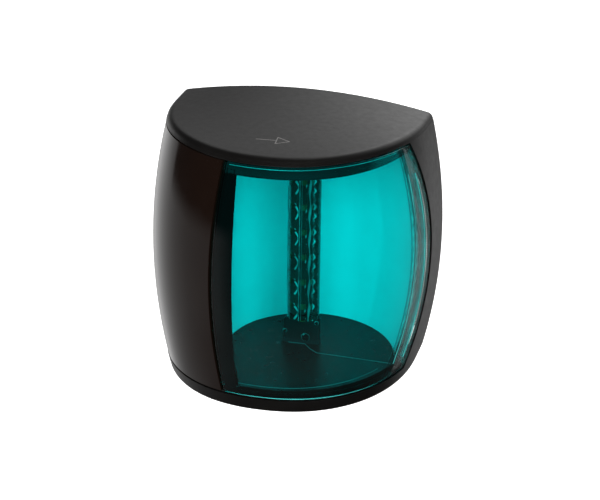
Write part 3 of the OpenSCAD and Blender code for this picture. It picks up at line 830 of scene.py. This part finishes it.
# ------------------------------------------------------------------ light column
def column():
    """Clear bar with a round front. Two flutes carry scalloped steps, two to a cell."""
    H = COL_LEN
    nz = CELLS * 24
    ang = np.linspace(-104, 104, 66)
    def radius(a, z):
        u = ((H - z) / PITCH) % 1.0
        wave = 0.5 - 0.5 * math.cos(4 * math.pi * u)
        r = COL_R
        for c, wdt in ((-34.0, 9.0), (36.0, 10.0)):
            g = math.exp(-((a - c) / wdt) ** 2)
            r -= g * (0.25 + 0.65 * wave)
        r -= 0.35 * math.exp(-(a / 5.0) ** 2)
        return r
    rings = []
    for j in range(nz + 1):
        z = H * j / nz
        ring = []
        for a in ang:
            r = radius(a, z)
            t = math.radians(a)
            ring.append((r * math.sin(t), min(-r * math.cos(t), 1.25), z + COL_BOT))
        rings.append(ring)
    m = len(ang)
    verts = [p for r in rings for p in r]
    faces = [tuple(range(m)), tuple(nz * m + i for i in reversed(range(m)))]
    for j in range(nz):
        for i in range(m):
            k = (i + 1) % m
            faces.append((j * m + i, (j + 1) * m + i, (j + 1) * m + k, j * m + k))
    o = new_piece("column", *placed([(verts, faces, AT_COL)]), node="light_column", slot="optic_clear", smooth=50)
    return set_material(o, CLEAR)


def column_highlight_marks():
    """Painted highlights for the glints on the bar's reflecting steps: bows in the left flute, paired corners in the
    right one, a faceted strip and small marks between them."""
    rng = np.random.default_rng(7)
    parts = []
    for c in range(CELLS):
        z0 = COL_TOP - (c + 0.5) * PITCH
        last = c == CELLS - 1
        w = rng.uniform(-0.12, 0.12, 12)
        # left flute: one bow, thick at both ends, and a small mark above it
        bow = [(-3.05 + (0.85 + w[0]) * math.sin(math.pi * f), -3.42, z0 + 2.0 + w[1] - 3.9 * f) for f in np.linspace(0, 1, 16).tolist()]
        parts.append((*tube(bow, lambda f: 0.13 + 0.15 * abs(math.cos(math.pi * f)) ** 0.7 + 0.05 * math.sin(9 * f + c), 9), AT_COL))
        mark = [(-3.3, -3.3, z0 + 2.9), (-3.1, -3.35, z0 + 2.75), (-2.9, -3.4, z0 + 2.62)]
        parts.append((*tube(mark, 0.12, 7), AT_COL))
        # right flute: two corners that point right, thickest at their tips
        for zo, h, k in ((1.75, 1.1, 0), (-1.15, 1.0, 1)):
            if last and k:
                continue
            corner = [(1.95 + (0.62 + w[2 + k]) * (1 - abs(2 * f - 1) ** 1.4), -3.55, z0 + zo + h * (1 - 2 * f)) for f in np.linspace(0, 1, 15).tolist()]
            parts.append((*tube(corner, lambda f: 0.10 + 0.20 * math.sin(math.pi * f) ** 2, 8), AT_COL))
        speck = [(2.3, -3.45, z0 - 2.5), (2.15, -3.5, z0 - 2.75)]
        parts.append((*tube(speck, 0.13, 7), AT_COL))
        # strip beside it, wide at the cell and narrow between cells
        strip_pts = [(0.95 + 0.12 * math.sin(2 * math.pi * f), -3.95, z0 + PITCH * (0.5 - f)) for f in np.linspace(0.0, 0.82 if last else 1.0, 20).tolist()]
        parts.append((*tube(strip_pts, lambda f: 0.10 + 0.26 * math.sin(math.pi * min(1.0, max(0.0, f * 1.25 - 0.1))) ** 1.3, 9), AT_COL))
        # marks in the middle
        oval = [(-0.25 + 0.22 * f, -4.15, z0 + 0.2 + 1.1 * f) for f in np.linspace(0, 1, 8).tolist()]
        parts.append((*tube(oval, lambda f: 0.06 + 0.17 * math.sin(math.pi * f), 8), AT_COL))
        dot = [(0.1, -4.2, z0 - 1.75), (0.18, -4.2, z0 - 1.55)]
        parts.append((*tube(dot, 0.11, 7), AT_COL))
    # painted highlight lines along the fine flute edges on the left
    for x, r in ((-1.95, 0.05), (-1.30, 0.045)):
        parts.append((*tube([(x, -4.05, COL_BOT + 0.3 + (COL_LEN - 0.6) * f) for f in np.linspace(0, 1, 40).tolist()], r, 6), AT_COL))
    o = new_piece("column_step_highlights", *placed(parts), slot="optic_clear")
    return set_material(o, FACET_HIGHLIGHT)


column()
column_highlight_marks()


FOOT_Y = -22.9
PEGS = ((-0.05, -27.1, 0.7), (6.1, -28.5, 1.4), (9.35, -23.7, 0.7))


def foot():
    """Upright block behind the overhanging bar, with rounded corners and a chamfered shoulder."""
    plan = [(-0.95, FOOT_Y), (10.25, FOOT_Y), (10.25, -22.0), (7.6, -18.2), (0.6, -19.8), (-0.95, -22.0)]
    cx, cy = 4.5, -20.0
    def rr(g):
        out = []
        m = len(plan)
        for k in range(m):
            p, a, b = Vector(plan[k]), Vector(plan[k - 1]), Vector(plan[(k + 1) % m])
            u, w = (a - p).normalized(), (b - p).normalized()
            for t in np.linspace(0, 1, 6).tolist():
                q = (1 - t) ** 2 * (p + u * 0.7) + 2 * t * (1 - t) * p + t * t * (p + w * 0.7)
                d = Vector((cx, cy)) - q
                out.append(tuple(q + d.normalized() * g))
        return out
    hi = COL_BOT - 0.05
    levels = [(0.0, None, 0.0), (0.0, -29.8, 0.0), (0.18, -29.7, 0.0), (0.18, hi - 2.6, 0.0), (0.3, hi - 1.0, 1.5), (0.6, hi, 2.1)]
    V, F = [], []
    for g, z, cut in levels:
        V += [(x + (cut if x < cx else 0.0), y, floor_at(y) + 0.02 if z is None else z) for x, y in rr(g)]
    m = len(rr(0))
    F.append(tuple(range(m)))
    F.append(tuple((len(levels) - 1) * m + i for i in reversed(range(m))))
    for j in range(len(levels) - 1):
        for i in range(m):
            k = (i + 1) % m
            F.append((j * m + i, (j + 1) * m + i, (j + 1) * m + k, j * m + k))
    o = new_piece("foot_block", V, F, node="column_foot", slot="baffle_black")
    return set_material(o, BAFFLE_LIT_COPY)


def pegs():
    """Moulded pegs with a rolled rim and a dimple."""
    parts = []
    for x, z, r in PEGS:
        prof = [(0, 0), (r * 0.92, 0), (r * 0.92, 2.9), (r, 3.0), (r, 3.2), (r * 0.93, 3.32), (r * 0.82, 3.3), (r * 0.7, 3.12), (r * 0.35, 2.98), (0, 2.95)]
        m = Matrix.Translation(Vector((x, FOOT_Y + 2.4, z))) @ Matrix.Rotation(math.radians(90), 4, "X")
        parts.append((*lathe(prof, 32), m))
    o = new_piece("pegs", *placed(parts), node="locating_pegs", slot="optic_clear", smooth=60)
    set_material(o, CLEAR)
    # painted highlights on each peg: a ring along its rolled rim and a bright spot at its upper left
    parts = []
    for x, z, r in PEGS:
        rim = [(x + 0.86 * r * math.cos(t), FOOT_Y - 0.93, z + 0.86 * r * math.sin(t)) for t in np.linspace(0, 2 * math.pi, 41)]
        parts.append((*tube(rim, lambda f: 0.045 + 0.035 * math.sin(2 * math.pi * f), 6), IDENT))
        g = [(x + 0.66 * r * math.cos(t), FOOT_Y - 0.95, z + 0.66 * r * math.sin(t)) for t in np.linspace(1.75, 2.6, 8)]
        parts.append((*tube(g, lambda f: 0.03 + 0.15 * r * math.sin(math.pi * f), 8), IDENT))
    o = new_piece("peg_rim_highlights", *placed(parts), slot="optic_clear")
    return set_material(o, FACET_HIGHLIGHT)


foot()
pegs()

# ------------------------------------------------------------------ CAD nodes that stay, with their finishes and softened edges
for node, m, w in (
    ("led_board", BOARD, 0.1), ("led_emitters", EMIT, 0.12), ("heat_spreader", ALU, 0.15), ("led_leads", SLEEVE, 0),
    ("driver_board", BOARD, 0.1), ("power_inductor", FERRITE, 0.25), ("filter_capacitors", CAN, 0.5), ("driver_chips", CHIP, 0.12),
    ("surge_suppressor", CHIP, 0.2), ("board_pillars", BLACK, 0.15), ("board_screws", STEEL, 0.12),
    ("rear_plate", BLACK, 0.2), ("rear_seal", SEAL, 0.15), ("threaded_inserts", BRASS, 0.15),
    ("mounting_gasket", SEAL, 0.2), ("cable_grommet", SEAL, 0.35),
):
    o = set_material(node, m)
    if w:
        bevel(o, w, 2, 40)

# ------------------------------------------------------------------ stage, light, camera
def stage():
    s = 2.5
    me = bpy.data.meshes.new("stage_floor")
    z = -0.03905
    me.from_pydata([(-s, -s, z), (s, -s, z), (s, s, z), (-s, s, z)], [], [(0, 1, 2, 3)])
    o = bpy.data.objects.new("stage_floor", me)
    COL.objects.link(o)
    m, nt, b = material("stage_pale")
    b.inputs["Base Color"].default_value = (0.8, 0.8, 0.8, 1)
    b.inputs["Roughness"].default_value = 0.9
    b.inputs["Specular IOR Level"].default_value = 0.0
    tc = nt.nodes.new("ShaderNodeTexCoord")
    sp = nt.nodes.new("ShaderNodeSeparateXYZ")
    nt.links.new(tc.outputs["Object"], sp.inputs[0])
    # the sweep is bright behind the object and falls off in front of it
    fall = ramp(nt, math_node(nt, "MULTIPLY_ADD", sp.outputs["Y"], 2.5, 0.5, clamp=True), [(0.45, 0.012), (0.58, 0.35), (0.85, 1.0)])
    em = nt.nodes.new("ShaderNodeEmission")
    nt.links.new(fall, em.inputs["Color"])
    em.inputs["Strength"].default_value = 0.9
    cam_e = nt.nodes.new("ShaderNodeEmission")
    cam_e.inputs["Strength"].default_value = 1.0
    add = nt.nodes.new("ShaderNodeAddShader")
    nt.links.new(cam_e.outputs[0], add.inputs[0])
    nt.links.new(b.outputs[0], add.inputs[1])
    lp = nt.nodes.new("ShaderNodeLightPath")
    mx = nt.nodes.new("ShaderNodeMixShader")
    nt.links.new(lp.outputs["Is Camera Ray"], mx.inputs[0])
    nt.links.new(em.outputs[0], mx.inputs[1])
    nt.links.new(add.outputs[0], mx.inputs[2])
    out = next(n for n in nt.nodes if n.type == "OUTPUT_MATERIAL")
    nt.links.new(mx.outputs[0], out.inputs["Surface"])
    me.materials.append(m)
    o.visible_glossy = False
    return o


stage()

world = bpy.data.worlds.new("studio")
bpy.context.scene.world = world
world.use_nodes = True
nt = world.node_tree
for n in list(nt.nodes):
    nt.nodes.remove(n)
tc = nt.nodes.new("ShaderNodeTexCoord")
sp = nt.nodes.new("ShaderNodeSeparateXYZ")
nt.links.new(tc.outputs["Generated"], sp.inputs[0])
# studio surroundings by bearing: 0 in front of the object, positive to its right, in turns of 360
bearing = math_node(nt, "MULTIPLY_ADD", math_node(nt, "ARCTAN2", sp.outputs["X"], math_node(nt, "MULTIPLY", sp.outputs["Y"], -1.0)), 0.5 / math.pi, 0.5)


def by_bearing(stops):
    return ramp(nt, bearing, [((d + 180) / 360, v) for d, v in stops])


low = by_bearing([(-180, 0.25), (-158, 0.50), (-146, 0.90), (-137, 0.92), (-127, 0.80), (-112, 0.58), (-100, 0.46), (-83, 0.36), (-56, 0.31), (-46, 0.27),
                  (-38, 0.14), (-30, 0.03), (100, 0.02), (126, 0.06), (134, 0.10), (142, 0.50), (150, 1.05), (157, 1.0), (163, 0.50), (170, 0.3), (180, 0.25)])
mid = by_bearing([(-180, 0.30), (-158, 0.50), (-146, 0.90), (-137, 0.92), (-124, 0.68), (-115, 0.46), (-111.5, 0.40), (-109, 0.035), (-50, 0.02), (110, 0.02), (126, 0.04), (134, 0.08), (142, 0.20),
                  (150, 0.40), (157, 0.45), (163, 0.30), (180, 0.30)])
near = by_bearing([(-180, 0.20), (-150, 0.45), (-137, 0.46), (-110, 0.38), (-80, 0.28), (-55, 0.20), (-35, 0.15), (45, 0.15), (80, 0.06), (150, 0.04), (180, 0.06)])
top = by_bearing([(-180, 2.1), (-173, 1.4), (-167, 0.60), (-160, 0.12), (-135, 0.05), (-60, 0.06), (60, 0.06), (120, 0.25), (150, 0.7), (170, 1.7), (180, 1.9)])
up_z = sp.outputs["Z"]
to_mid = ramp(nt, math_node(nt, "MULTIPLY_ADD", up_z, 1.0, 0.5), [(0.5 - 0.275, 0.0), (0.5 - 0.225, 1.0)])
to_top = ramp(nt, math_node(nt, "MULTIPLY_ADD", up_z, 1.0, 0.5), [(0.5 - 0.02, 0.0), (0.5 + 0.15, 1.0)])
sink = ramp(nt, math_node(nt, "MULTIPLY_ADD", up_z, 1.0, 1.0, clamp=True), [(1 - 0.90, 0.10), (1 - 0.76, 0.45), (1 - 0.66, 1.0)])
to_near = ramp(nt, math_node(nt, "MULTIPLY_ADD", up_z, 1.0, 1.0, clamp=True), [(1 - 0.60, 1.0), (1 - 0.49, 0.0)])
tone = mix_rgb(nt, to_top, mix_rgb(nt, to_mid, low, mid), top)
tone = mix_rgb(nt, to_near, tone, near)
bg = nt.nodes.new("ShaderNodeBackground")
nt.links.new(tone, bg.inputs["Color"])
nt.links.new(sink, bg.inputs["Strength"])
cam_bg = nt.nodes.new("ShaderNodeBackground")
cam_bg.inputs["Color"].default_value = (1, 1, 1, 1)
cam_bg.inputs["Strength"].default_value = 1.05
lp = nt.nodes.new("ShaderNodeLightPath")
mx = nt.nodes.new("ShaderNodeMixShader")
nt.links.new(lp.outputs["Is Camera Ray"], mx.inputs[0])
nt.links.new(bg.outputs[0], mx.inputs[1])
nt.links.new(cam_bg.outputs[0], mx.inputs[2])
wo = nt.nodes.new("ShaderNodeOutputWorld")
nt.links.new(mx.outputs[0], wo.inputs["Surface"])


def area(name, loc, target, size, power, glossy=True, colour=(1, 1, 1)):
    d = bpy.data.lights.new(name, "AREA")
    d.shape = "RECTANGLE"
    d.size, d.size_y = size
    d.energy = power
    d.color = colour
    o = bpy.data.objects.new(name, d)
    o.location = loc
    o.rotation_mode = "QUATERNION"
    o.rotation_quaternion = (Vector(loc) - Vector(target)).to_track_quat("Z", "Y")
    o.visible_camera = False
    o.visible_glossy = glossy
    o.visible_transmission = glossy
    COL.objects.link(o)
    return o


area("front_soft", (0.27, -0.72, 0.22), (0, -0.03, 0), (0.9, 0.7), 14.5, glossy=False)
area("left_soft", (-0.50, -0.62, 0.16), (0.01, -0.03, 0), (0.5, 0.5), 5.0, glossy=False)
area("side_soft", (0.75, -0.30, 0.25), (0, -0.03, 0), (0.5, 0.6), 1.0, glossy=False)
area("top_soft", (0.50, 0.50, 0.50), (0, -0.03, 0.03), (0.5, 0.45), 0.35)

cam = bpy.data.cameras.new("camera")
co = bpy.data.objects.new("camera", cam)
COL.objects.link(co)
AZ, EL, DIST, FPX, PPX, PPY, ROLL = 13.61, 23.56, 841.0, 2923.0, 287.67, 241.38, 0.64


def camera_axes():
    a, e = math.radians(AZ), math.radians(EL)
    back = Vector((math.sin(a) * math.cos(e), -math.cos(a) * math.cos(e), math.sin(e)))
    fwd = -back
    right = fwd.cross(Vector((0, 0, 1))).normalized()
    up = right.cross(fwd)
    r = math.radians(ROLL)
    return back, math.cos(r) * right + math.sin(r) * up, -math.sin(r) * right + math.cos(r) * up


back, right, up = camera_axes()
m = Matrix((right, up, back)).transposed().to_4x4()
m.translation = (Vector((0, -22, 0)) + back * DIST) * MM
co.matrix_world = m
cam.sensor_width = 36.0
cam.lens = FPX * 36.0 / 600.0
cam.shift_x = (300 - PPX) / 600.0
cam.shift_y = (PPY - 250) / 600.0
cam.clip_start, cam.clip_end = 0.05, 20.0
bpy.context.scene.camera = co
bpy.context.scene.view_settings.view_transform = "Standard"
